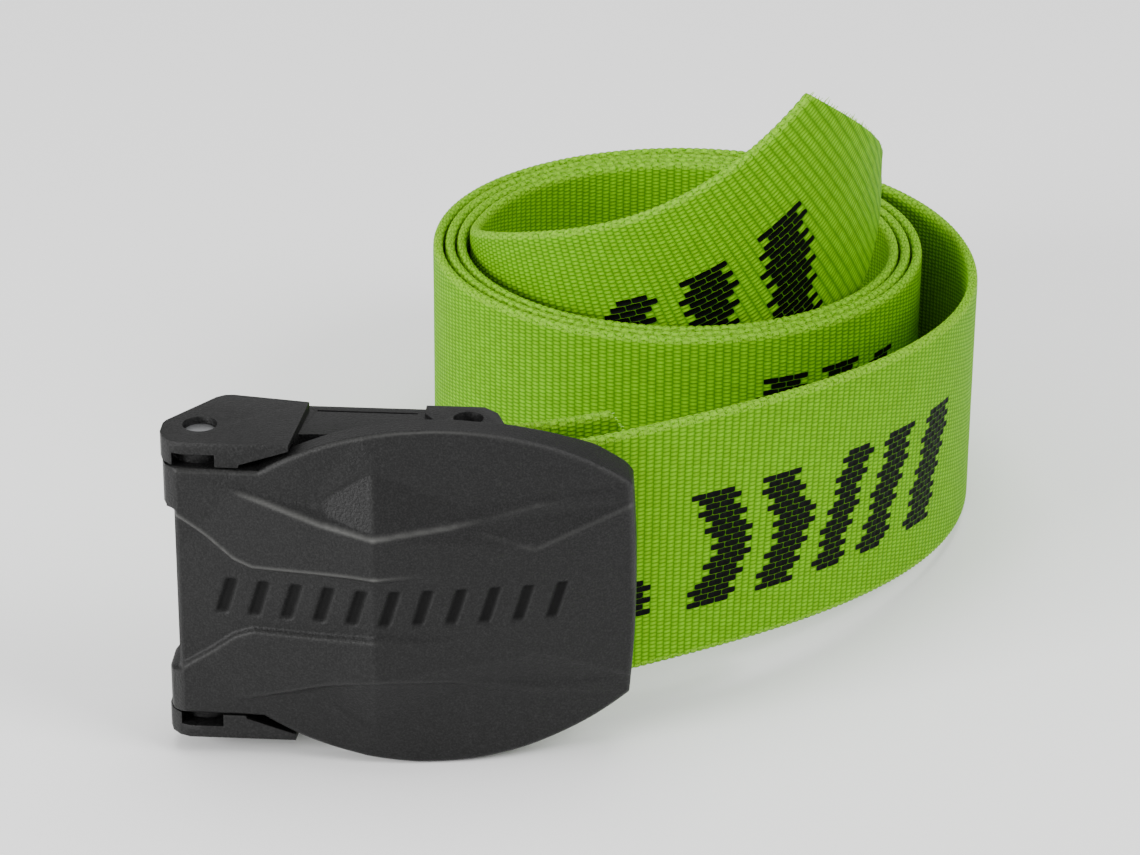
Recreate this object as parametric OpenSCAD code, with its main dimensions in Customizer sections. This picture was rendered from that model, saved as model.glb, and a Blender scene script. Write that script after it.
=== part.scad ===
// Dive weight belt: a woven webbing strap wound in a coil, standing on its edge,
// with a moulded nylon cam buckle at its fixed end. Millimetres, +Z up, floor at z = 0.
// Inside the modules the buckle's hinge axis is x = 0, y = 0. The buckle runs along +X,
// its face looks to -Y. Every node is then moved so the origin is the centre of the footprint.

/* [Webbing] */
// width of the webbing; the buckle's clear width follows it
web_w = 50; // [44:1:54]
// thickness of the webbing
web_t = 2.0; // [1.6:0.1:2.3]
// diameter of the wound coil over its outermost full turn
coil_d = 104.8; // [88:0.4:124]
// full turns in the coil between the lead and the rising free end
turns = 3; // [1:1:4]

/* [Buckle] */
// length of the lever from the hinge axis to its tip
lever_len = 79.2; // [75:0.1:95]
// how far the lever's belly stands out beyond the frame's ears, each side
lever_over = 3.8; // [2.5:0.1:6]
// thickness of the ears at the hinge
ear_t = 4.8; // [4.4:0.1:6.5]
// diameter of the hinge pin
pin_d = 5.6; // [5:0.1:6]
// diameter of the bar that holds the webbing's fixed end
bar_d = 5.4; // [4:0.1:6]
// distance from the hinge pin to the bar
bar_x = 48; // [46:0.5:54]

/* [Show] */
// which piece to make

/* [Hidden] */
$fn = 96;

// across the buckle, measured from its middle plane
side_gap = 0.4;
ear_in = web_w / 2 + side_gap;
ear_out = ear_in + ear_t;
knuckle_half = ear_in - 0.37;
lever_half = ear_out + lever_over;
mid_z = lever_half;

// base plate and cam
plate_y = 10;
plate_t = 3;
plate_half = ear_out - 1.8;
grip_gap = web_t - 0.2;
cam_r = plate_y - grip_gap;
pin_r = pin_d / 2;
pin_play = 0.05;
pin_sink = 1.3;
bar_sink = 2.2;
hub_r = 5.6;
hub_t = 2.0;

// bar and the webbing's turn around it
bar_y = 8.1;
bar_r = bar_d / 2;
wrap_r = bar_r + 0.15 + web_t / 2;
ear2_out = ear_out - 1;
plate_end = bar_x - wrap_r - web_t / 2 - 0.35;

// lever belly: two large arcs, one each side
belly_r = 58;
belly_x = 42.3;
belly_c = lever_half - belly_r;

// coil
layer = web_t + 0.45;
coil_r = coil_d / 2 - web_t / 2;
exit_x = bar_x + 28;
exit_y = bar_y + 5.4;
reach = 62.5;
exit_a = -93.3;
cx = exit_x - (coil_r + reach) * cos(exit_a);
cy = exit_y - (coil_r + reach) * sin(exit_a);
coil_end = 180 + 360 * turns;
flap_r = coil_r - layer * (coil_end - 90) / 360 - web_t - 0.8;
tail_bias = 14;
free_bias = 6;
free_len = 114;
flap_span = 6 * ceil((free_len + 39) / flap_r * 30 / PI);
drop = mid_z - web_w / 2;

function ramp(t) = let (u = min(1, max(0, t))) u * u * (3 - 2 * u);
function lerp(a, b, t) = a + (b - a) * t;
function bez(p, t) = pow(1 - t, 3) * p[0] + 3 * t * pow(1 - t, 2) * p[1]
    + 3 * t * t * (1 - t) * p[2] + pow(t, 3) * p[3];
function turn_on(r, a) = [bar_x + r * cos(a), bar_y + r * sin(a)];

// radius of the strap's middle about the coil's centre: a lead that dies away, then a spiral
function roll_r(a) = coil_r - layer * (max(a, 90) - 90) / 360
    + reach * exp(-(a - exit_a) / 46) * (1 - ramp((a - 90) / 180));
function flap_in(a) = ramp((a - coil_end + 10) / 60);
function coil_pt(a) = let (r = lerp(roll_r(a), flap_r, flap_in(a))) [cx + r * cos(a), cy + r * sin(a)];

// plan path of the strap's middle, from the short tail to the free end
tail_a = 105;
lead_a = 274;
tail_pts = [turn_on(wrap_r, tail_a), turn_on(wrap_r, tail_a) + [13, 3.4],
    [exit_x + 6, exit_y + 11.5], [exit_x + 25, exit_y + 25]];
lead_pts = [turn_on(wrap_r, lead_a), turn_on(wrap_r, lead_a) + [9, 0.6],
    [exit_x, exit_y] - 9 * [cos(32.6), sin(32.6)], [exit_x, exit_y]];
plan = concat(
    [for (i = [0 : 1 : 14]) bez(tail_pts, 1 - i / 14)],
    [for (i = [1 : 1 : 12]) turn_on(wrap_r, lerp(tail_a, lead_a, i / 12))],
    [for (i = [1 : 1 : 8]) bez(lead_pts, i / 8)],
    [for (a = [exit_a + 6 : 6 : coil_end + flap_span]) coil_pt(a)]);
n_exit = 34;
steps = [for (i = [1 : 1 : len(plan) - 1]) norm(plan[i] - plan[i - 1])];
run = [for (i = 0, s = 0; i < len(plan); s = s + (i < len(steps) ? steps[i] : 0), i = i + 1) s];
xs = [for (i = [0 : 1 : len(plan) - 1]) [run[i], plan[i][0]]];
ys = [for (i = [0 : 1 : len(plan) - 1]) [run[i], plan[i][1]]];
function plan_at(s) = [lookup(s, xs), lookup(s, ys)];
function side_at(s) = let (d = plan_at(s + 2.5) - plan_at(s - 2.5)) [d[1], -d[0]] / norm(d);

// height of the strap's middle: level in the buckle, down to the floor at the coil, then rising
s_exit = run[n_exit];
s_coil = s_exit + 150;
k_rise = (coil_end - exit_a) / 6;
s_rise = lerp(run[n_exit + floor(k_rise)], run[n_exit + floor(k_rise) + 1], k_rise - floor(k_rise));
s_first = tail_bias + 4.5;
s_last = s_rise + free_len;
function rise_a(s) = 19 * ramp((s - s_rise + 15) / 30) + 20 * ramp((s - s_rise - 47) / 60);
function slope(s) = s < s_rise - 30
    ? atan(-drop / (s_coil - s_exit) * 6 * ramp_d((s - s_exit) / (s_coil - s_exit)))
    : rise_a(s);
function ramp_d(t) = t < 0 || t > 1 ? 0 : t * (1 - t);
function lift(i) = i < len(steps) ? steps[i] * tan(rise_a(run[i] + steps[i] / 2)) : 0;
rises = [for (i = 0, z = 0; i < len(run); z = z + lift(i), i = i + 1) [run[i], z]];
function mid_at(s) = mid_z - drop * ramp((s - s_exit) / (s_coil - s_exit)) + lookup(s, rises);

// both cut ends are a little askew: the lower edge is longer than the upper one
function cut_at(s, v) = v * (tail_bias * ramp((s_first + 40 - s) / 40)
    - free_bias * ramp((s - s_last + 40) / 40));
sides = [-1, -0.5, 0, 0.5, 1];
function strap_pt(s, v, out) = let (
    t = s + cut_at(s, v),
    u = t - v * web_w / 2 * sin(slope(t)),
    p = plan_at(u) + out * side_at(u) * web_t / 2)
    [p[0], p[1], mid_at(t) + v * web_w / 2 * cos(slope(t))];
stations = concat([s_first], [for (s = run) if (s > s_first + 1.5 && s < s_last - 1.5) s], [s_last]);
ring_n = 2 * len(sides);
rings = [for (s = stations) each concat([for (v = sides) strap_pt(s, v, 1)],
    [for (i = [len(sides) - 1 : -1 : 0]) strap_pt(s, sides[i], -1)])];
skin = [for (i = [0 : 1 : len(stations) - 2]) for (j = [0 : 1 : ring_n - 1])
    let (a = i * ring_n + j, b = i * ring_n + (j + 1) % ring_n)
    each [[a, b, a + ring_n], [b, b + ring_n, a + ring_n]]];
last = (len(stations) - 1) * ring_n;
ends = [for (j = [0 : 1 : len(sides) - 2]) let (a = j, b = j + 1, c = ring_n - 2 - j, d = ring_n - 1 - j)
    each [[a, c, b], [a, d, c], [last + a, last + b, last + c], [last + a, last + c, last + d]]];

// centre of the footprint, so that the origin lies there
ear_left = -6.8;
crown_y = -13.8;
xmax = max([for (p = rings) p[0]]);
ymax = max([for (p = rings) p[1]]);
org = [-(xmax + ear_left) / 2, -(ymax + crown_y) / 2, 0];

// a flat outline in X and Y, raised from low to high above the buckle's middle plane
module slab(pts, low, high) {
    translate([0, 0, mid_z + low])
        linear_extrude(high - low) polygon(pts);
}

// an outline in X and Z, run through the part from y = near to y = far
module through(near, far) {
    translate([0, far, mid_z]) rotate([90, 0, 0])
        linear_extrude(far - near) children();
}

module both_sides() {
    children();
    translate([0, 0, 2 * mid_z]) mirror([0, 0, 1]) children();
}

module rod(r, low, high, x = 0, y = 0) {
    translate([x, y, mid_z + low]) cylinder(r = r, h = high - low);
}

// side view of a hinge ear and of a bar ear, in X and Y
ear1 = [[-6.8, -3.4], [-6.1, -5.6], [-4.6, -7.2], [-2.6, -8], [17, -8], [18.6, 10.8], [4.4, 13],
    [2.8, 12.8], [1.4, 11.8], [-6.4, 1.2], [-6.8, 0]];
ear2 = [[-8.1, 13], [-8.1, 9.6], [-6, 6.6], [-4.6, 2.6], [-2.2, 1.5], [6.2, 1.5], [7.8, 3.2],
    [5.2, 10.6], [2.6, 13]];
// side wall that joins the two ears and guides the webbing's edge
cheek = [[16, 0.6], [bar_x - 5, 2.6], [bar_x - 5, plate_y + 2], [16, plate_y + 2]];
plate = [[1.6, plate_y], [plate_end, plate_y], [plate_end, plate_y + plate_t], [4.4, plate_y + plate_t],
    [2.6, plate_y + 2.6], [0.6, plate_y + 0.6]];

// the frame: a base plate with two hinge ears at one end, two bar ears at the other and walls between
module buckle_frame() {
    color([0.17, 0.17, 0.18])
        translate(org)
            difference() {
                union() {
                    slab(plate, -plate_half, plate_half);
                    both_sides() {
                        slab(ear1, ear_in, ear_out);
                        slab(cheek, ear_in, plate_half);
                        translate([bar_x, 0, 0]) slab(ear2, ear_in, ear2_out);
                    }
                }
                both_sides() {
                    // hinge hole and its shallow counterbore
                    rod(pin_r + pin_play, ear_in - 1, ear_out + 1);
                    rod(pin_r + 0.35, ear_out - pin_sink, ear_out + 1);
                    // pocket for the lever's hub, open to the front
                    rod(hub_r + 0.5, ear_in - 1, ear_in + hub_t + 0.4);
                    slab([[-4.2, -9], [3.6, -9], [3.6, 0], [-4.2, 0]], ear_in - 1, ear_in + hub_t + 0.4);
                    // inner face cut back where the lever's belly begins
                    through(-9, -3)
                        polygon([[7.5, ear_in - 1], [8, ear_in + 0.6],
                            [19, ear_out - 0.6], [19, ear_in - 1]]);
                    // hole for the webbing bar
                    rod(bar_r + pin_play, ear_in - 1, ear_out + 1, bar_x, bar_y);
                    // moulded groove along the edge of the base plate
                    slab([[20, plate_y + 0.7], [bar_x - 9.5, plate_y + 0.7], [bar_x - 9.5, plate_y + 1.2],
                        [20, plate_y + 1.2]], plate_half - 0.5, plate_half + 1);
                }
            }
}

// side view of the lever over its hinge and cam, in X and Y
tooth_n = 5;
tooth_a = [for (i = [0 : 1 : 2 * tooth_n]) lerp(48, 108, i / (2 * tooth_n))];
cam = concat(
    [[-6.3, -4.6], [-5.6, -6.8], [-3.4, -8.1], [8, -9.2], [22, -11.6], [22, -4], [14, -2], [9.4, 2]],
    [for (i = [0 : 1 : 2 * tooth_n]) (cam_r - (i % 2 == 0 ? 0 : 0.9)) * [cos(tooth_a[i]), sin(tooth_a[i])]],
    [[-4.4, 5.8], [-5.8, 3.6], [-6.3, 1.4]]);
// the face plate with its crown, thin in the middle and thicker at the tip
tip = lever_len;
face = [[6, -8.8], [8, -9.2], [32.7, crown_y], [61, -7.7], [tip - 1.6, -1.9], [tip, 0.4],
    [tip, 3.8], [tip - 2.2, 5.8], [tip - 8, 5], [66, 2.4], [60, 0.2], [50, -2.4], [40, -3.4],
    [30, -4], [18, -4.5], [6, -4.5]];
// hand recess across the face: its outline in X and Z, and its floor in X and Y
recess = [[-8, 17.6], [-6, 17.2], [1.6, 12], [6.5, 8], [10, 6.6], [47, 6.6]];
floor_line = [[-4.2, 6], [-4.2, -6], [-2.6, -7.4], [9, -8.6], [32.7, crown_y + 1], [47, -10.6]];
// generic slanted bars pressed into the recess
bar_n = 11;

module belly() {
    intersection() {
        translate([belly_x, belly_c]) circle(r = belly_r, $fn = 240);
        translate([belly_x, -belly_c]) circle(r = belly_r, $fn = 240);
        translate([tip - 260, 0]) circle(r = 260, $fn = 720);
        translate([8, -lever_half]) square([tip, 2 * lever_half]);
    }
}

module cam_lever() {
    pocket_top = -4.2;
    color([0.2, 0.2, 0.21])
        translate(org)
            difference() {
                union() {
                    slab(cam, -knuckle_half, knuckle_half);
                    both_sides() rod(hub_r, knuckle_half - 1, ear_in + hub_t);
                    intersection() {
                        slab(face, -lever_half, lever_half);
                        through(-16, 8) union() {
                            belly();
                            translate([6, -knuckle_half]) square([16, 2 * knuckle_half]);
                        }
                        // the face falls away to both sides of its crown
                        translate([0, 0, mid_z]) rotate([90, 0, 90])
                            linear_extrude(tip)
                                polygon([[crown_y, -14], [crown_y, 14], [crown_y + 6.2, lever_half],
                                    [8, lever_half], [8, -lever_half], [crown_y + 6.2, -lever_half]]);
                    }
                }
                rod(pin_r + pin_play, -ear_out, ear_out);
                // hand recess around the hinge side and across the face
                intersection() {
                    through(-16, 9) polygon(concat(recess,
                        [for (i = [len(recess) - 1 : -1 : 0]) [recess[i][0], -recess[i][1]]]));
                    slab(concat([[-9, 6]], floor_line, [[47, -16], [-9, -16]]), -18, 18);
                }
                // pressed bars, 0.6 deep in the floor of the recess
                intersection() {
                    through(-16, 0) union()
                        for (i = [0 : 1 : bar_n - 1])
                            translate([3 + 6 * i, 0])
                                polygon([[0, -3.4], [2.2, -3.4], [4.2, 3.4], [2, 3.4]]);
                    slab([[-2.6, -6.8], [9, -8], [32.7, crown_y + 1.6], [47, -9.6], [61, -7],
                        [68, -4.6], [68, -16], [-2.6, -16]], -4, 4);
                }
                // cored out behind, with ribs left between
                for (x = [17, 32.5, 48])
                    for (z = [-1, 0, 1])
                        translate([x, x < 40 ? -7.6 : -5.6, mid_z + z * 15.5 - 6.6]) cube([12.5, 9, 13.2]);
            }
}

// steel pin through the hinge ears and the lever
module hinge_pin() {
    color([0.72, 0.73, 0.75])
        translate(org)
            rod(pin_r, -ear_out + pin_sink, ear_out - pin_sink);
}

// steel bar that the webbing's fixed end is turned around
module webbing_bar() {
    color([0.7, 0.71, 0.73])
        translate(org)
            rod(bar_r, -ear2_out + bar_sink, ear2_out - bar_sink, bar_x, bar_y);
}

// one length of woven webbing: tail, turn around the bar, lead, coil and rising free end
module belt_webbing() {
    color([0.45, 0.68, 0.14])
        translate(org)
            polyhedron(points = rings, faces = concat(skin, ends), convexity = 10);
}

buckle_frame();
cam_lever();
hinge_pin();
webbing_bar();
belt_webbing();
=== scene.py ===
import math
import bpy
import bmesh
import numpy as np
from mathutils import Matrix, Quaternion, Vector


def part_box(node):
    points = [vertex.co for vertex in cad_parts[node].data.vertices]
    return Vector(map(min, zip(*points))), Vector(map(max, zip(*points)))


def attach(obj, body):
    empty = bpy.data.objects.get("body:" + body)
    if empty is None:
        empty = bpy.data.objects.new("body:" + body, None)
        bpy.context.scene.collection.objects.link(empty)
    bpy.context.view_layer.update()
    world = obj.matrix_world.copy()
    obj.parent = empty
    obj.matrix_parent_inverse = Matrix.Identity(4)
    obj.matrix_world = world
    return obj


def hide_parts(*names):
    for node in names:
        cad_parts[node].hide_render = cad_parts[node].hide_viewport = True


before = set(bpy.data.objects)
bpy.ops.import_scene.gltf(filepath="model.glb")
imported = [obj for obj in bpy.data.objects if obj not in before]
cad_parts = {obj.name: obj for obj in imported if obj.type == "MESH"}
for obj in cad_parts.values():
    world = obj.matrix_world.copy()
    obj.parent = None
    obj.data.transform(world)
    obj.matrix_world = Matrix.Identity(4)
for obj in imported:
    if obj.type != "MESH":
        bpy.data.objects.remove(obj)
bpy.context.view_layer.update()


# ---- Camera ------------------------------------------------------------------
# A long portrait lens on a stand 0.79 m from the buckle: 25.3 degrees above the
# table, 3.3 degrees to the buckle's right, and rolled a third of a degree.
pin_low, pin_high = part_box("hinge_pin")
hinge = (np.array(pin_low) + np.array(pin_high)) / 2
aim = Vector((hinge[0] + 0.0631, hinge[1] + 0.0671, hinge[2]))
pitch, swing, roll = math.radians(25.29), math.radians(3.30), math.radians(0.37)
sight = Vector((-math.sin(swing) * math.cos(pitch), math.cos(swing) * math.cos(pitch), -math.sin(pitch)))
camera = bpy.data.objects.new("camera", bpy.data.cameras.new("camera"))
camera.data.lens, camera.data.sensor_width = 126.3, 36.0
camera.location = aim - sight * 0.7926
camera.rotation_mode = "QUATERNION"
camera.rotation_quaternion = sight.to_track_quat("-Z", "Y") @ Quaternion((0, 0, 1), roll)
camera.data.clip_start, camera.data.clip_end = 0.05, 20
bpy.context.scene.collection.objects.link(camera)
bpy.context.scene.camera = camera


# ---- Table and light ---------------------------------------------------------
# A matt white table under a white tent, a soft box low in front on the left, a weaker one
# on the right and another above: plain product lighting.
def linear(code):
    """An sRGB hex colour such as '7fb028' as linear red, green, blue and alpha."""
    c = np.array([int(code[i:i + 2], 16) / 255 for i in (0, 2, 4)])
    return tuple(np.where(c <= 0.04045, c / 12.92, ((c + 0.055) / 1.055) ** 2.4)) + (1.0,)


def put(kind, *values, **settings):
    """Adds a node to the material in hand and gives its first live output. Values fill its inputs in
    order, or by name from a dict; settings are its attributes, and a kind such as Math.SINE also says
    the operation."""
    kind, _, operation = kind.partition(".")
    n = tree.nodes.new("ShaderNode" + kind)
    if operation:
        n.operation = operation
    for name, value in settings.items():
        setattr(n, name, value)
    inputs = values[0] if values and isinstance(values[0], dict) else dict(enumerate(values))
    for name, value in inputs.items():
        if isinstance(value, bpy.types.NodeSocket):
            tree.links.new(value, n.inputs[name])
        else:
            n.inputs[name].default_value = value
    return next(socket for socket in n.outputs if socket.enabled)


def material(name):
    """An empty material with one Principled surface: returns the material, its tree and the surface."""
    m = bpy.data.materials.new(name)
    m.use_nodes = True
    return m, m.node_tree, m.node_tree.nodes["Principled BSDF"]


table_mesh = bpy.data.meshes.new("table")
corners = [(-3, -3), (3, -3), (3, 3), (-3, 3)]
table_mesh.from_pydata([(x, y, -0.0003) for x, y in corners], [], [(0, 1, 2, 3)])
table = bpy.data.objects.new("table", table_mesh)
bpy.context.scene.collection.objects.link(table)
paint, tree, face = material("white_table_paint")
face.inputs["Base Color"].default_value = linear("ffffff")
face.inputs["Roughness"].default_value = 0.9
face.inputs["Specular IOR Level"].default_value = 0.1
table_mesh.materials.append(paint)

world = bpy.data.worlds.new("white_tent")
world.use_nodes = True
world.node_tree.nodes["Background"].inputs["Color"].default_value = (1, 1, 1, 1)
world.node_tree.nodes["Background"].inputs["Strength"].default_value = 0.72
bpy.context.scene.world = world
for name, place, size, watts in (
        ("soft_box_left", (-1.05, -0.95, 0.45), 0.6, 24.0),
        ("soft_box_right", (0.9, -0.5, 0.8), 0.6, 10.0),
        ("soft_box_top", (0.0, 0.25, 1.5), 1.0, 12.0)):
    lamp = bpy.data.lights.new(name, "AREA")
    lamp.shape, lamp.size, lamp.energy = "SQUARE", size, watts
    holder = bpy.data.objects.new(name, lamp)
    holder.location = place
    holder.rotation_mode = "QUATERNION"
    holder.rotation_quaternion = (Vector((0, 0, 0.03)) - Vector(place)).to_track_quat("-Z", "Y")
    bpy.context.scene.collection.objects.link(holder)


# ---- Webbing -----------------------------------------------------------------
# One length of 50 mm nylon webbing, 2 mm thick, warp-faced plain weave in lime green with black
# yarn floated in bars. It leaves a short tail, turns round the bar, leads to the coil, makes three
# turns and ends in a raised free end. Selvedges are woven in.
WIDTH, THICK = 50.0, 2.0
PICK = 1.65
MID_Z, BAR = 34.0, np.array([48.0, 8.1])
WRAP_R = 2.7 + 0.15 + THICK / 2
COIL_R, LAYER = 51.4, THICK + 0.45
EXIT, EXIT_A, REACH = np.array([76.0, 13.5]), -93.3, 62.5
CENTRE = EXIT - (COIL_R + REACH) * np.array([math.cos(math.radians(EXIT_A)), math.sin(math.radians(EXIT_A))])
COIL_END = 180 + 360 * 3
TAIL_SLANT, FREE_SLANT, FREE_LENGTH = 14, 6, 114
FLAP_R = COIL_R - LAYER * (COIL_END - 90) / 360 - THICK - 0.8
DROP = MID_Z - WIDTH / 2


def ramp(t):
    """0 below t = 0, 1 above t = 1, and 3t^2 - 2t^3 between."""
    u = np.clip(t, 0, 1)
    return u * u * (3 - 2 * u)


def arc(centre, r, a):
    """Points at radius r and angle a degrees round a centre."""
    return centre + np.stack([r * np.cos(np.radians(a)), r * np.sin(np.radians(a))], -1)


def bez(p, t):
    """Cubic Bezier through four control points: the sum of p_i times its Bernstein weight."""
    t = t[:, None]
    return (1 - t) ** 3 * p[0] + 3 * t * (1 - t) ** 2 * p[1] + 3 * t * t * (1 - t) * p[2] + t ** 3 * p[3]


def coil_point(a):
    """Radius is the coil less one layer per turn, plus a lead that dies away as exp(-angle / 46), and
    goes over to the free end's own radius after the last turn."""
    r = COIL_R - LAYER * (np.maximum(a, 90) - 90) / 360
    r = r + REACH * np.exp(-(a - EXIT_A) / 46) * (1 - ramp((a - 90) / 180))
    inward = ramp((a - COIL_END + 10) / 60)
    return arc(CENTRE, r * (1 - inward) + FLAP_R * inward, a)


tail_top, lead_low = arc(BAR, WRAP_R, np.array([105.0, 274.0]))
heading = np.array([math.cos(math.radians(32.6)), math.sin(math.radians(32.6))])
tail_line = bez([tail_top, tail_top + [13, 3.4], EXIT + [6, 11.5], EXIT + [25, 25]], np.linspace(1, 0, 60))
lead_line = bez([lead_low, lead_low + [9, 0.6], EXIT - 9 * heading, EXIT], np.linspace(0, 1, 50))
wrap_line = arc(BAR, WRAP_R, np.linspace(105, 274, 40))
coil_line = coil_point(np.arange(EXIT_A + 1, COIL_END + 216, 1.0))
plan = np.vstack([tail_line, wrap_line[1:], lead_line[1:], coil_line])
step = np.hypot(*np.diff(plan, axis=0).T)
run = np.concatenate([[0], np.cumsum(step)])
at_exit = len(tail_line) + len(wrap_line) + len(lead_line) - 3
s_exit = run[at_exit]
s_coil = s_exit + 150
s_rise = np.interp(COIL_END - EXIT_A, np.arange(len(run) - at_exit), run[at_exit:])
s_first, s_last = TAIL_SLANT + 4.5, s_rise + FREE_LENGTH


def climb(s):
    """Angle in degrees at which the free end rises: 19, then 20 more."""
    return 19 * ramp((s - s_rise + 15) / 30) + 20 * ramp((s - s_rise - 47) / 60)


def slope(s):
    """Angle of the webbing's middle line to the table: down to the coil, then up the free end."""
    t = (s - s_exit) / (s_coil - s_exit)
    down = np.degrees(np.arctan(-DROP / (s_coil - s_exit) * 6 * np.where((t < 0) | (t > 1), 0, t * (1 - t))))
    return np.where(s < s_rise - 30, down, climb(s))


lift = np.concatenate([[0], np.cumsum(step * np.tan(np.radians(climb(run[:-1] + step / 2))))])


def webbing_surface(s, v, out):
    """Plan path at run s, moved out along its right-hand normal and v up the webbing's own width,
    which leans with the slope. The cut ends slant: the lower edge runs further than the upper."""
    w = 2 * v / WIDTH
    t = s + w * (TAIL_SLANT * ramp((s_first + 40 - s) / 40) - FREE_SLANT * ramp((s - s_last + 40) / 40))
    a = np.radians(slope(t))
    u = t - v * np.sin(a)
    ends = [np.stack([np.interp(u + d, run, plan[:, i]) for i in (0, 1)], -1) for d in (-1.5, 0, 1.5)]
    along = ends[2] - ends[0]
    side = np.stack([along[..., 1], -along[..., 0]], -1) / np.hypot(along[..., 0], along[..., 1])[..., None]
    p = ends[1] + out[..., None] * side
    z = MID_Z - DROP * ramp((t - s_exit) / (s_coil - s_exit)) + np.interp(t, run, lift) + v * np.cos(a)
    return np.concatenate([p, z[..., None]], -1), t


def grid_mesh(name, points, uv=None, closed=True, caps=True):
    """Joins a grid of rows of points (mm, from the hinge) into a skin: each row is a ring when closed,
    and the first and last rows are capped. uv is one pair for each corner column, one more than the ring."""
    rows, ring = points.shape[:2]
    i, j = np.meshgrid(np.arange(rows - 1), np.arange(ring if closed else ring - 1), indexing="ij")
    k = (j + 1) % ring
    quads = np.stack([i * ring + j, i * ring + k, (i + 1) * ring + k, (i + 1) * ring + j], -1).reshape(-1, 4)
    verts = points.reshape(-1, 3) * 0.001 + [hinge[0], hinge[1], 0]
    mesh = bpy.data.meshes.new(name)
    faces = quads.tolist()
    if caps:
        faces += [list(range(ring))[::-1], list(range((rows - 1) * ring, rows * ring))]
    mesh.from_pydata(verts.tolist(), [], faces)
    if uv is not None:
        layer = mesh.uv_layers.new(name="weave")
        corner = np.stack([uv[i, j], uv[i, j + 1], uv[i + 1, j + 1], uv[i + 1, j]], 2).reshape(-1, 2)
        if caps:
            corner = np.concatenate([corner, uv[0, :ring][::-1], uv[-1, :ring]])
        layer.data.foreach_set("uv", corner.ravel())
    mesh.polygons.foreach_set("use_smooth", np.ones(len(mesh.polygons), bool))
    mesh.update()
    obj = bpy.data.objects.new(name, mesh)
    bpy.context.scene.collection.objects.link(obj)
    return obj


# section across the webbing, mm: up the outer face, over the top selvedge, down the inner face
half = np.array([[-24.7, 0.72], [-24.0, 0.96], [-22.6, 0.98], [-15, 0.94], [-7, 0.94], [0, 0.94], [7, 0.94],
                 [15, 0.94], [22.6, 0.98], [24.0, 0.96], [24.7, 0.72], [24.98, 0.3]])
section = np.concatenate([half, (half * [1, -1])[::-1]])
across = np.concatenate([half[:, 0] + 25, 76 - half[::-1, 0], [101.3]])
s_line = np.arange(s_first, s_last, PICK / 4)
beat = np.abs(np.sin(np.pi * s_line / PICK)) ** 0.8
grid_s = np.repeat(s_line[:, None], len(section), 1)
grown = section[None] + 0 * grid_s[..., None]
edge = ramp((np.abs(section[:, 0]) - 23.5) / 1.2)
grown[..., 1] += np.sign(section[:, 1]) * 0.1 * (beat[:, None] - 0.4) * (1 - 0.4 * edge)
grown[..., 0] += np.sign(section[:, 0]) * edge * 0.22 * (beat[:, None] - 0.7)
points, stations = webbing_surface(grid_s, grown[..., 0], grown[..., 1])
uv = np.stack([np.concatenate([stations, stations[:, :1]], 1), np.repeat(across[None], len(s_line), 0)], -1)
webbing = grid_mesh("belt_webbing_woven", points, uv)


# Woven nylon: bright dyed yarn that stands in small rows, painted darker down in the gaps as painted shade,
# and nearly matt; black yarn floats over two picks at a time, so every edge of a black mark is stepped.
REPEAT = 1000.0
woven, tree, face = material("woven_nylon_webbing")
U, V = put("SeparateXYZ", put("UVMap", uv_map="weave")).node.outputs[:2]


def bell(t):
    """Height of a round yarn across its own width: the sine of half a turn."""
    return put("Math.SINE", put("Math.MULTIPLY", put("Math.FRACT", t), math.pi))


# green ground: columns one pick long, each made of rows 0.82 mm high, every other column half a row lower
ROW, FLOAT_ROW = 0.82, 1.25
column = put("Math.DIVIDE", U, PICK)
odd = put("Math.FLOORED_MODULO", put("Math.FLOOR", column), 2)
row = put("Math.ADD", put("Math.DIVIDE", V, ROW), put("Math.MULTIPLY", odd, 0.5))
green_hump = put("Math.MULTIPLY", put("Math.POWER", bell(column), 0.7), put("Math.POWER", bell(row), 0.8))
# black floats: rows 1.25 mm high, each float two picks long and starting a pick later in the next row
float_row = put("Math.DIVIDE", V, FLOAT_ROW)
j = put("Math.FLOOR", float_row)
along = put("Math.MULTIPLY", put("Math.ADD", column, j), 0.5)
black_hump = put("Math.MULTIPLY", bell(along), bell(float_row))
# centre of the black float that this point lies in, so that the marks step with the weave
pair = put("Math.MULTIPLY", put("Math.ADD", put("Math.FLOOR", along), 0.5), 2)
float_u = put("Math.MULTIPLY", put("Math.SUBTRACT", pair, j), PICK)
float_v = put("Math.MULTIPLY", put("Math.ADD", j, 0.5), FLOAT_ROW)
outer = put("Math.LESS_THAN", V, 51)
rise = put("Math.SUBTRACT", float_v, 25)
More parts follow.
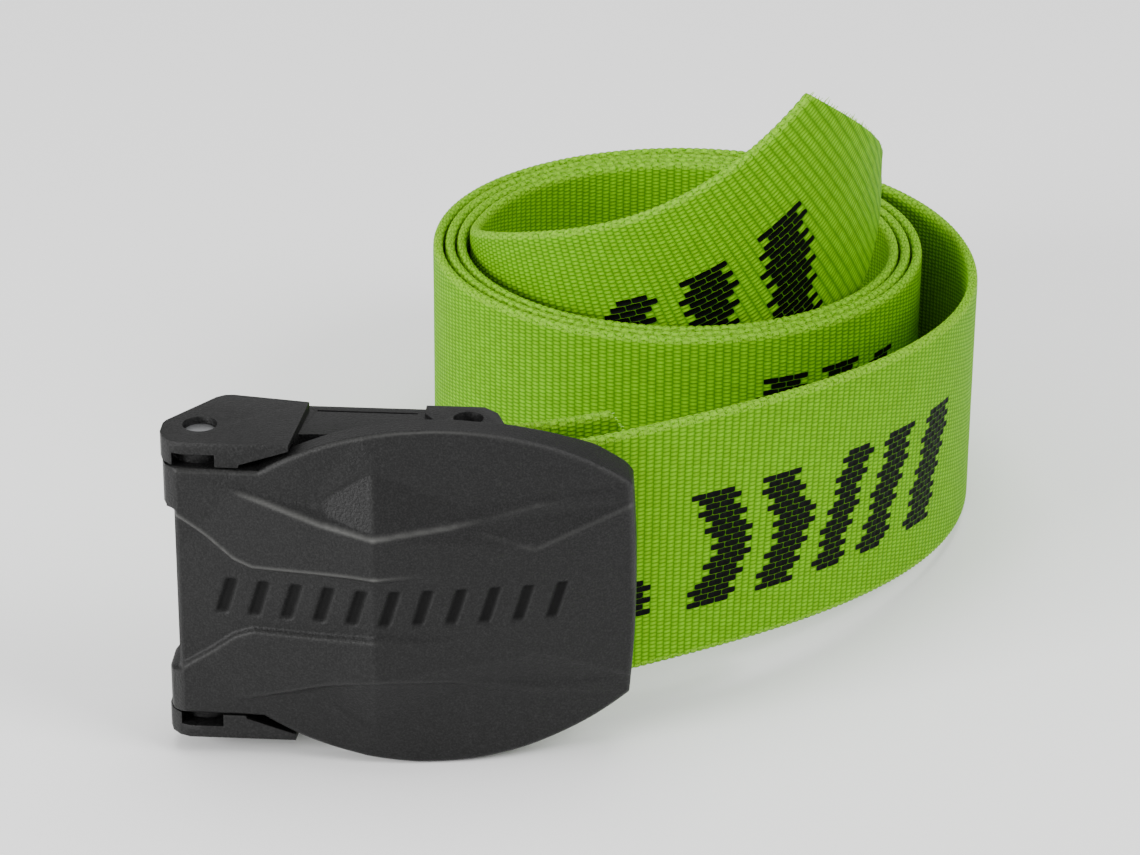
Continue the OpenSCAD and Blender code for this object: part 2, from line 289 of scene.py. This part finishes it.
# the marks repeat every metre on the outer face: a block, chevrons and slanted bars
lap = put("Math.SUBTRACT", put("Math.FLOORED_MODULO", put("Math.SUBTRACT", float_u, 36), REPEAT), 60)
marks = 0.0
for centre, lean, chevron, wide, reach, middle_v in (
        (8, 0.0, 0, 5, 3.8, -10.5), (30, -0.5, 1, 9, 11.8, -3), (46, -0.5, 1, 9, 11.8, -3),
        (59, 0.35, 0, 7.5, 11.8, -3), (73, 0.35, 0, 8.5, 11.8, -3), (90, 0.35, 0, 10, 11.8, -3),
        (256, 0.35, 0, 9, 11.8, -3), (272, 0.35, 0, 9, 11.8, -3), (288, 0.35, 0, 9, 11.8, -3),
        (411, 0.5, 0, 9, 11.5, 3.5), (424, 0.5, 0, 9, 11.5, 3.5), (436, 0.5, 0, 7, 11, 3)):
    level = put("Math.SUBTRACT", rise, float(middle_v))
    tall = put("Math.ABSOLUTE", level)
    middle = put("Math.MULTIPLY_ADD", tall if chevron else level, lean, float(centre))
    inside = put("Math.LESS_THAN", put("Math.ABSOLUTE", put("Math.SUBTRACT", lap, middle)), wide / 2)
    short = put("Math.LESS_THAN", tall, float(reach))
    marks = put("Math.MAXIMUM", marks, put("Math.MULTIPLY", inside, short))
marks = put("Math.MULTIPLY", marks, outer)
# green shows through in specks where two black floats meet
speck = put("Math.MULTIPLY", put("Math.LESS_THAN", black_hump, 0.05), 0.7)
black = put("Math.MULTIPLY", marks, put("Math.SUBTRACT", 1, speck))

cell = put("CombineXYZ", put("Math.FLOOR", column), put("Math.FLOOR", row))
thread = put("TexWhiteNoise", {"Vector": cell}, noise_dimensions="2D")
place = put("TexCoord").node.outputs["Object"]
cloud = put("TexNoise", {"Vector": place, "Scale": 60.0, "Detail": 3.0})
fibre = put("TexNoise", {"Vector": place, "Scale": 2600.0, "Detail": 2.0})
# painted shade: the green is mixed darker where the yarn dips into the gaps between rows
green_with_gap_shade = put("Mix", {0: green_hump, "A": linear("3a7400"), "B": linear("77b300")}, data_type="RGBA")
blur = put("Math.ADD", put("Math.MULTIPLY", cloud, 0.14), put("Math.MULTIPLY", fibre, 0.24))
tone = put("Math.ADD", put("Math.MULTIPLY", thread, 0.16), blur)
dyed = put("HueSaturation", {"Value": put("Math.ADD", tone, 0.74), "Color": green_with_gap_shade})
# the selvedge's looped yarn catches the light along both edges
off_middle = put("Math.SUBTRACT", put("Math.FLOORED_MODULO", V, 51), 25)
from_edge = put("Math.SUBTRACT", 25, put("Math.ABSOLUTE", off_middle))
selvedge = put("Math.MULTIPLY", put("Math.LESS_THAN", from_edge, 1.3), put("Math.GREATER_THAN", fibre, 0.47))
glint = put("Math.MULTIPLY", selvedge, 0.4)
edged = put("Mix", {0: glint, "A": dyed, "B": linear("94c43a")}, data_type="RGBA")
yarn = put("Mix", {0: black, "A": edged, "B": linear("050605")}, data_type="RGBA")
tree.links.new(yarn, face.inputs["Base Color"])
face.inputs["Roughness"].default_value = 0.62
face.inputs["Specular IOR Level"].default_value = 0.05
black_height = put("Math.MULTIPLY", put("Math.POWER", black_hump, 0.5), 1.3)
yarn_height = put("Math.ADD", put("Math.MULTIPLY", green_hump, put("Math.SUBTRACT", 1, marks)),
                  put("Math.MULTIPLY", black_height, marks))
fuzz = put("Math.ADD", yarn_height, put("Math.MULTIPLY", fibre, 0.35))
bump = put("Bump", {"Height": fuzz, "Distance": 0.00016, "Strength": 0.9})
tree.links.new(bump, face.inputs["Normal"])
webbing.data.materials.append(woven)

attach(webbing, "belt_and_frame")
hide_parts("belt_webbing")


# ---- Yarn at the two cuts ------------------------------------------------------
# The webbing is cut with shears and barely sealed, so short ends of green yarn stand out
# of both cuts, each a tapered nylon thread 0.3 mm thick, woven into the strap behind it.
rng = np.random.default_rng(7)
lanes = np.concatenate([np.arange(-24.3, 24.4, 0.55)] * 2)
at_free = np.repeat([0.0, 1.0], len(lanes) // 2)
reach = rng.uniform(0.2, 0.8, len(lanes))
reach += (rng.random(len(lanes)) > 0.9) * rng.uniform(0.2, 0.7, len(lanes))
sway = rng.normal(0, 0.28, (2, len(lanes)))
depth = rng.uniform(-0.6, 0.6, len(lanes))
t = np.linspace(0, 1, 4)[None, :, None]
a = np.linspace(0, 2 * np.pi, 5, endpoint=False)[None, None, :]
thick = 0.17 * (1 - 0.75 * t ** 2)
lane3, free3, reach3 = lanes[:, None, None], at_free[:, None, None], reach[:, None, None]
start = np.where(free3 > 0.5, s_last - 1.2, s_first + 1.2)
yarn_s = start + np.where(free3 > 0.5, 1, -1) * t * (1.2 + reach3) + 0 * a
yarn_v = lane3 + sway[0][:, None, None] * t ** 2 + thick * np.cos(a)
yarn_out = depth[:, None, None] + sway[1][:, None, None] * t ** 2 + thick * np.sin(a)
ends, end_run = webbing_surface(yarn_s, yarn_v, yarn_out)
count, rings, ring = ends.shape[:3]
n, i, k = np.meshgrid(np.arange(count), np.arange(rings - 1), np.arange(ring), indexing="ij")
base = n * rings * ring
quads = np.stack([base + i * ring + k, base + i * ring + (k + 1) % ring,
                  base + (i + 1) * ring + (k + 1) % ring, base + (i + 1) * ring + k], -1).reshape(-1, 4)
first = (np.arange(count) * rings * ring)[:, None] + np.arange(ring)[None]
tips = first + (rings - 1) * ring
mesh = bpy.data.meshes.new("cut_yarn_ends")
mesh.from_pydata((ends.reshape(-1, 3) * 0.001 + [hinge[0], hinge[1], 0]).tolist(), [],
                 quads.tolist() + first[:, ::-1].tolist() + tips.tolist())
clean = bmesh.new()
clean.from_mesh(mesh)
bmesh.ops.recalc_face_normals(clean, faces=clean.faces)
clean.to_mesh(mesh)
clean.free()
mesh.polygons.foreach_set("use_smooth", np.ones(len(mesh.polygons), bool))
yarn_ends = bpy.data.objects.new("cut_yarn_ends", mesh)
bpy.context.scene.collection.objects.link(yarn_ends)
# Loose nylon yarn: the dye looks paler where single filaments scatter the light.
loose, tree, face = material("loose_nylon_yarn")
place = put("TexCoord").node.outputs["Object"]
mottle = put("TexNoise", {"Vector": place, "Scale": 1500.0, "Detail": 2.0})
pale = put("Mix", {0: mottle, "A": linear("6fae20"), "B": linear("b9e266")}, data_type="RGBA")
tree.links.new(pale, face.inputs["Base Color"])
face.inputs["Roughness"].default_value = 0.6
face.inputs["Sheen Weight"].default_value = 0.3
mesh.materials.append(loose)
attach(yarn_ends, "belt_and_frame")


# ---- Lever -------------------------------------------------------------------
# The quick-release lever, injection-moulded in black glass-filled nylon: a faceted face plate with
# a hand recess, round knuckles that take the hinge pin, and a toothed cam behind them.
LEVER_HALF, KNUCKLE, BELLY_R, BELLY_X, TIP, TIP_R = 34.0, 25.03, 58.0, 42.3, 79.2, 260
HUB_R, HUB_TOP, HUB_DEPTH = 0.0056, 0.0274, 0.0036
facet_points = {
    "n0": (-9, 27, -7.9), "n1": (-9, 0, -7.9), "r0": (4, 27, -8.2), "r1": (8.5, 27, -8.3),
    "r2": (18.2, 30.4, -9.0), "r3": (30, 34.2, -8.9), "r4": (42, 35.8, -8.2), "r5": (51, 35, -7.2),
    "r6": (59.4, 33, -5.8), "r7": (66.8, 30.4, -4.1), "r8": (74.2, 27.2, -2.5), "r9": (80.5, 23.5, -1.2),
    "t0": (81, 0, -0.8),
    "J": (4.2, 22.2, -8.75), "B": (20.5, 19.2, -9.7), "A": (32.0, 27.1, -9.9), "C": (32.6, 14.5, -13.7),
    "K": (6.3, 21.5, -9.0), "K2": (22.9, 16.3, -11.8), "D": (50.0, 18.9, -8.0), "H": (47.5, 15.6, -9.7),
    "E": (61.0, 20.3, -5.9), "E2": (61.5, 18.6, -6.4), "F": (78.6, 22.8, -1.3), "F2": (79.6, 20.6, -1.1),
    "G": (61.3, 10.7, -7.3), "I": (80.4, 18.2, -1.0), "c0": (32.6, 0, -13.8), "g0": (61.3, 0, -7.6)}
facets = (
    "n0 n1 K", "n0 K J", "n0 J r0", "r0 J r1", "J B r2", "J r2 r1", "B A r3", "B r3 r2", "J K B",
    "K K2 B", "K2 C B", "n1 c0 K2", "n1 K2 K", "c0 C K2", "B C A", "A C D", "C H D", "A D r4",
    "A r4 r3", "D r5 r4", "D E r6", "D r6 r5", "E F r8", "E r8 r7", "E r7 r6", "F r9 r8", "D H E2",
    "D E2 E", "E E2 F2", "E F2 F", "F F2 r9", "H G I", "H I E2", "E2 I F2", "F2 I r9", "c0 g0 G",
    "c0 G C", "C G H", "g0 t0 I", "g0 I G", "t0 r9 I")


def facet_height(x, w):
    """Depth of the faceted face at length x and distance w from the middle plane: on each flat triangle
    it is the barycentric mix of its three corners' depths."""
    y = np.full(np.broadcast(x, w).shape, np.nan)
    w = np.abs(w)
    for names in facets:
        (x0, w0, y0), (x1, w1, y1), (x2, w2, y2) = [facet_points[k] for k in names.split()]
        area = (x1 - x0) * (w2 - w0) - (x2 - x0) * (w1 - w0)
        b = ((x - x0) * (w2 - w0) - (x2 - x0) * (w - w0)) / area
        c = ((x1 - x0) * (w - w0) - (x - x0) * (w1 - w0)) / area
        hit = (b >= -1e-3) & (c >= -1e-3) & (b + c <= 1.001) & np.isnan(y)
        y = np.where(hit, y0 + b * (y1 - y0) + c * (y2 - y0), y)
    return np.where(np.isnan(y), -2.0, y)


def relief(x, w):
    """Depth cut below the flat facets, and how much of it is bar. It is the sum of a hand recess 1 mm deep,
    wide at the hinge and fading past the crown; slanted bars pressed 0.75 mm into its floor; and short
    steps down where facets meet: along the spine w = f(x) from knuckle to tip, inside the two diamonds
    beyond it, and along the V towards the tip."""
    v = np.abs(w)
    edge = np.interp(x, [-6, 1.6, 6.5, 10, 33, 50], [17.2, 12, 8, 6.6, 6.6, 7.4])
    band = ramp((edge - v) / (0.6 + 0.9 * ramp((x - 20) / 20))) * (1 - ramp((x - 30) / 20))
    along = np.mod(x - 3 - 0.3 * (w + 3.4), 6)
    bar = ramp((2.3 - along) / 0.3) * ramp(along / 0.3) * ramp((3.6 - v) / 0.3) * (x > 2.4) * (x < 67.4)
    spine = np.interp(x, [-3.4, 6.3, 22.9, 32.6, 46, 61.5, 79.6], [22.5, 21.5, 16.3, 14.5, 15.7, 18.6, 20.6])
    step = 0.3 * ramp((v - spine) / 0.9) * ramp((x - 3) / 8)
    brow = np.interp(x, [20.5, 32, 50], [19.2, 27.1, 18.9])
    dent = 0.35 * ramp((brow - v) / 0.7) * ramp((v - spine) / 0.9) * ramp((x - 21) / 3) * ramp((49.5 - x) / 3)
    vee = np.interp(x, [47.5, 61.3, 80.4], [15.6, 10.7, 18.2])
    notch = 0.3 * ramp((v - vee) / 0.5) * (1 - ramp((v - spine) / 0.6)) * ramp((x - 48) / 5)
    return 1.0 * band + 0.75 * bar + step + dent + notch, bar


w_mid = np.linspace(0, KNUCKLE, 82)
w_out = KNUCKLE + 0.001 + (LEVER_HALF - 0.02 - KNUCKLE) * np.sin(np.linspace(0, np.pi / 2, 40)) ** 0.9
w_half = np.concatenate([w_mid, w_out])
w_line = np.concatenate([-w_half[:0:-1], w_half])[:, None]
belly = np.sqrt(np.maximum(BELLY_R ** 2 - (np.abs(w_line) + BELLY_R - LEVER_HALF) ** 2, 0.01))
in_knuckle = np.abs(w_line) <= KNUCKLE
x_right = np.minimum(TIP - TIP_R + np.sqrt(TIP_R ** 2 - w_line ** 2), BELLY_X + belly)
x_left = np.where(in_knuckle, -3.4, np.maximum(BELLY_X - belly, 8.0))
# the columns keep their place along the lever and stop at its outline, so no column runs askew
columns = np.linspace(-3.4, TIP, 262)
front_x = np.clip(columns[None], x_left, x_right)
ring_of = np.linspace(0, 2 * np.pi, 8, endpoint=False)
nudge = [(0, 0)] + [(r * math.cos(q), r * math.sin(q)) for r in (0.16, 0.34) for q in ring_of]
front_y = np.mean([facet_height(front_x + dx, w_line + dw) for dx, dw in nudge], axis=0)
round_about = [(0.7 * math.cos(q), 0.7 * math.sin(q)) for q in ring_of]
wide_y = np.mean([facet_height(front_x + dx, w_line + dw) for dx, dw in round_about], axis=0)
cut = [relief(front_x + dx, w_line + dw) for dx, dw in nudge]
pressed, bars = np.mean([c[0] for c in cut], axis=0), np.mean([c[1] for c in cut], axis=0)
far = np.mean([relief(front_x + dx, w_line + dw)[0] for dx, dw in round_about], axis=0)
to_side = BELLY_R - np.hypot(front_x - BELLY_X, np.abs(w_line) + BELLY_R - LEVER_HALF)
to_tip = TIP_R - np.hypot(front_x - TIP + TIP_R, w_line)
to_rim = np.minimum(np.where(front_x < 11.3, KNUCKLE - np.abs(w_line), to_side), to_tip)
crest = (wide_y + far - front_y - pressed - 0.02) / 0.14 * (np.abs(w_line) > 4.4)
# painted highlight: grey lines on the facet crests, full on the upper half and 0.3 on the lower, plus a
# painted highlight line along the top rim
rim_highlight = 0.6 * ramp(1 - np.abs(to_rim - 0.4) / 0.4)
highlight_lines = ramp(crest) * np.where(w_line > 0, 1.0, 0.3) + rim_highlight * (w_line > 0)
padded = np.pad(highlight_lines, 1, mode="edge")
highlight_lines = sum(padded[i:i + highlight_lines.shape[0], j:j + highlight_lines.shape[1]] for i in range(3) for j in range(3)) / 9
highlight_lines = np.clip(highlight_lines, 0, 1) ** 1.7
front_y = front_y + pressed + 0.55 * np.clip(1 - to_rim / 0.8, 0, 1) ** 2
# back of the plate: a level floor with nine cored pockets, and a thick lip at the tip
walls = np.array([17, 29.5, 32.5, 45, 48, 60.5])[:, None] + [-0.15, 0.15]
back_columns = np.unique(np.concatenate([np.linspace(22, TIP, 40), walls.ravel()[2:], [22.0]]))[::-1]
back_x = np.clip(back_columns[None], x_left, x_right)
back_y = np.interp(back_x, [6, 18, 30, 40, 50, 60, 66, 71.2, 77, 79.2],
                   [-4.5, -4.5, -4, -3.4, -2.4, 0.2, 2.4, 5, 5.8, 3.8])
for px, deep in ((17, -7.6), (32.5, -7.6), (48, -5.6)):
    for pz in (-15.5, 0, 15.5):
        pocket = (np.abs(back_x - px - 6.25) < 6.3) & (np.abs(w_line - pz) < 6.6)
        back_y = np.where(pocket, np.minimum(back_y, deep), back_y)
# round the hinge: cam with five teeth and barrel; past the knuckles the plate closes on its own edge
tooth = np.radians(np.linspace(48, 108, 11))
tooth_r = 8.2 - 0.9 * (np.arange(11) % 2)
teeth = np.stack([tooth_r * np.cos(tooth), tooth_r * np.sin(tooth)], -1)
barrel = [[-4.4, 5.8], [-5.8, 3.6], [-6.3, 1.4], [-6.3, -4.6], [-5.6, -6.4], [-4.4, -7.4]]
hinge_side = np.vstack([[[14, -2], [9.4, 2]], teeth, barrel])
sunk = ramp((17.0 - np.abs(w_line)) / 1.0)
cam_x = np.maximum(hinge_side[None, :, 0], -6.3 + 2.1 * sunk)
cam_y = hinge_side[None, :, 1] + 0 * cam_x
cam_y = np.where(cam_y < 0, np.maximum(cam_y, -7.6 + 1.0 * sunk), cam_y)
edge_y = front_y[:, :1] + (back_y[:, -1:] - front_y[:, :1]) * np.linspace(0.97, 0.05, cam_x.shape[1])
loop_x = np.concatenate([front_x, back_x, np.where(in_knuckle, cam_x, x_left)], 1)
loop_y = np.concatenate([front_y, back_y, np.where(in_knuckle, cam_y, edge_y)], 1)
loop_z = MID_Z + w_line + 0 * loop_x
lever = grid_mesh("cam_lever_moulding", np.stack([loop_x, loop_y, loop_z], -1))
plain = np.zeros((len(w_line), loop_x.shape[1] - highlight_lines.shape[1]))
for label, values in (("painted_crest_highlight", highlight_lines), ("pressed_in", bars)):
    spot = lever.data.attributes.new(label, "FLOAT", "POINT")
    spot.data.foreach_set("value", np.concatenate([values, plain], 1).ravel().astype(np.float32))
# columns that stop at the outline lie on one another there, so they are joined
joined = bmesh.new()
joined.from_mesh(lever.data)
bmesh.ops.remove_doubles(joined, verts=joined.verts, dist=1e-6)
bmesh.ops.dissolve_degenerate(joined, edges=joined.edges, dist=1e-6)
joined.to_mesh(lever.data)
joined.free()
lever.data.set_sharp_from_angle(angle=math.radians(70))

# Moulded nylon: near black, with the fine grain of a spark-eroded mould, a dull sheen,
# and grey painted along the crests of the facets and the top rim as painted highlight, strongest on the upper
# half.
nylon, tree, face = material("moulded_black_nylon")
place = put("TexCoord").node.outputs["Object"]
grain = put("TexNoise", {"Vector": place, "Scale": 1900.0, "Detail": 3.0, "Roughness": 0.6})
patch = put("TexNoise", {"Vector": place, "Scale": 90.0, "Detail": 4.0})
fleck = put("TexNoise", {"Vector": place, "Scale": 3000.0, "Detail": 2.0})
blotch = put("Mix", {0: patch, "A": linear("040404"), "B": linear("0a0a0a")}, data_type="RGBA")
speck = put("MapRange", {"Value": fleck, "From Min": 0.42, "From Max": 0.72})
dust = put("Math.MULTIPLY", speck, 0.62)
dusted = put("Mix", {0: dust, "A": blotch, "B": linear("252525")}, data_type="RGBA")
# painted highlight along the facet crests and the top rim
crest = put("Attribute", attribute_name="painted_crest_highlight").node.outputs["Fac"]
highlight_weight = put("Math.MULTIPLY", crest, 0.85)
highlighted = put("Mix", {0: highlight_weight, "A": dusted, "B": linear("5a5a58")}, data_type="RGBA")
# painted shade: the floors of the pressed bars are mixed to near black, and made rougher
floor = put("Attribute", attribute_name="pressed_in").node.outputs["Fac"]
shade = put("Math.MULTIPLY", floor, 0.95)
shaded = put("Mix", {0: shade, "A": highlighted, "B": linear("030303")}, data_type="RGBA")
tree.links.new(shaded, face.inputs["Base Color"])
rough = put("MapRange", {"Value": patch, "To Min": 0.42, "To Max": 0.56})
deep = put("Math.MULTIPLY_ADD", floor, 0.4, rough)
tree.links.new(deep, face.inputs["Roughness"])
face.inputs["IOR"].default_value = 1.53
face.inputs["Specular IOR Level"].default_value = 0.22
bump = put("Bump", {"Height": grain, "Distance": 0.00018, "Strength": 0.8})
tree.links.new(bump, face.inputs["Normal"])
lever.data.materials.append(nylon)

# Hubs: the two round bosses that sit in the ears' pockets, part of the same moulding.
hub = bmesh.new()
for side in (-1, 1):
    made = bmesh.ops.create_cone(hub, cap_ends=True, segments=64,
                                 radius1=HUB_R, radius2=HUB_R, depth=HUB_DEPTH)
    middle = hinge[2] + side * (HUB_TOP - HUB_DEPTH / 2)
    bmesh.ops.translate(hub, verts=made["verts"], vec=(hinge[0], hinge[1], middle))
hub_mesh = bpy.data.meshes.new("lever_hubs")
hub.to_mesh(hub_mesh)
hub.free()
hubs = bpy.data.objects.new("lever_hubs", hub_mesh)
bpy.context.scene.collection.objects.link(hubs)
hub_mesh.materials.append(nylon)
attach(lever, "lever")
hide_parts("cam_lever")
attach(hubs, "lever")


# ---- Buckle frame ------------------------------------------------------------
# One moulding of the same black nylon: base plate, two hinge ears and two bar ears.
# Its edges are broken by the mould, so each catches a thin line of light.
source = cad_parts["buckle_frame"]
shape = bmesh.new()
shape.from_mesh(source.data)
bmesh.ops.remove_doubles(shape, verts=shape.verts, dist=2e-6)
bmesh.ops.dissolve_limit(shape, angle_limit=math.radians(1), verts=shape.verts, edges=shape.edges)
frame_mesh = bpy.data.meshes.new("buckle_frame_moulding")
shape.to_mesh(frame_mesh)
shape.free()
buckle = bpy.data.objects.new("buckle_frame_moulding", frame_mesh)
bpy.context.scene.collection.objects.link(buckle)
broken = buckle.modifiers.new("broken_edges", "BEVEL")
broken.width, broken.segments, broken.limit_method, broken.angle_limit = 0.00035, 2, "ANGLE", math.radians(28)
broken.harden_normals = True
frame_mesh.polygons.foreach_set("use_smooth", np.ones(len(frame_mesh.polygons), bool))
frame_mesh.materials.clear()
frame_mesh.materials.append(nylon)
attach(buckle, "belt_and_frame")
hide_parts("buckle_frame")


# ---- Pins --------------------------------------------------------------------
# Two turned stainless steel pins: the hinge pin, pressed into the hinge ears, and the bar
# that the webbing turns round. Their cut ends show in the ears, brushed by the tool.
steel, tree, face = material("turned_stainless_steel")
place = put("TexCoord").node.outputs["Object"]
stretched = put("Mapping", {"Vector": place, "Scale": (1.0, 1.0, 0.05)})
tool = put("TexNoise", {"Vector": stretched, "Scale": 3000.0, "Detail": 3.0})
metal = put("Mix", {0: tool, "A": linear("8f9092"), "B": linear("b9babb")}, data_type="RGBA")
tree.links.new(metal, face.inputs["Base Color"])
face.inputs["Metallic"].default_value = 1.0
face.inputs["Roughness"].default_value = 0.38
bump = put("Bump", {"Height": tool, "Distance": 0.00002, "Strength": 0.5})
tree.links.new(bump, face.inputs["Normal"])
for name in ("hinge_pin", "webbing_bar"):
    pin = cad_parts[name]
    if not pin.material_slots:
        pin.data.materials.append(steel)
    for place_for in pin.material_slots:
        place_for.material = steel

bpy.context.view_layer.update()
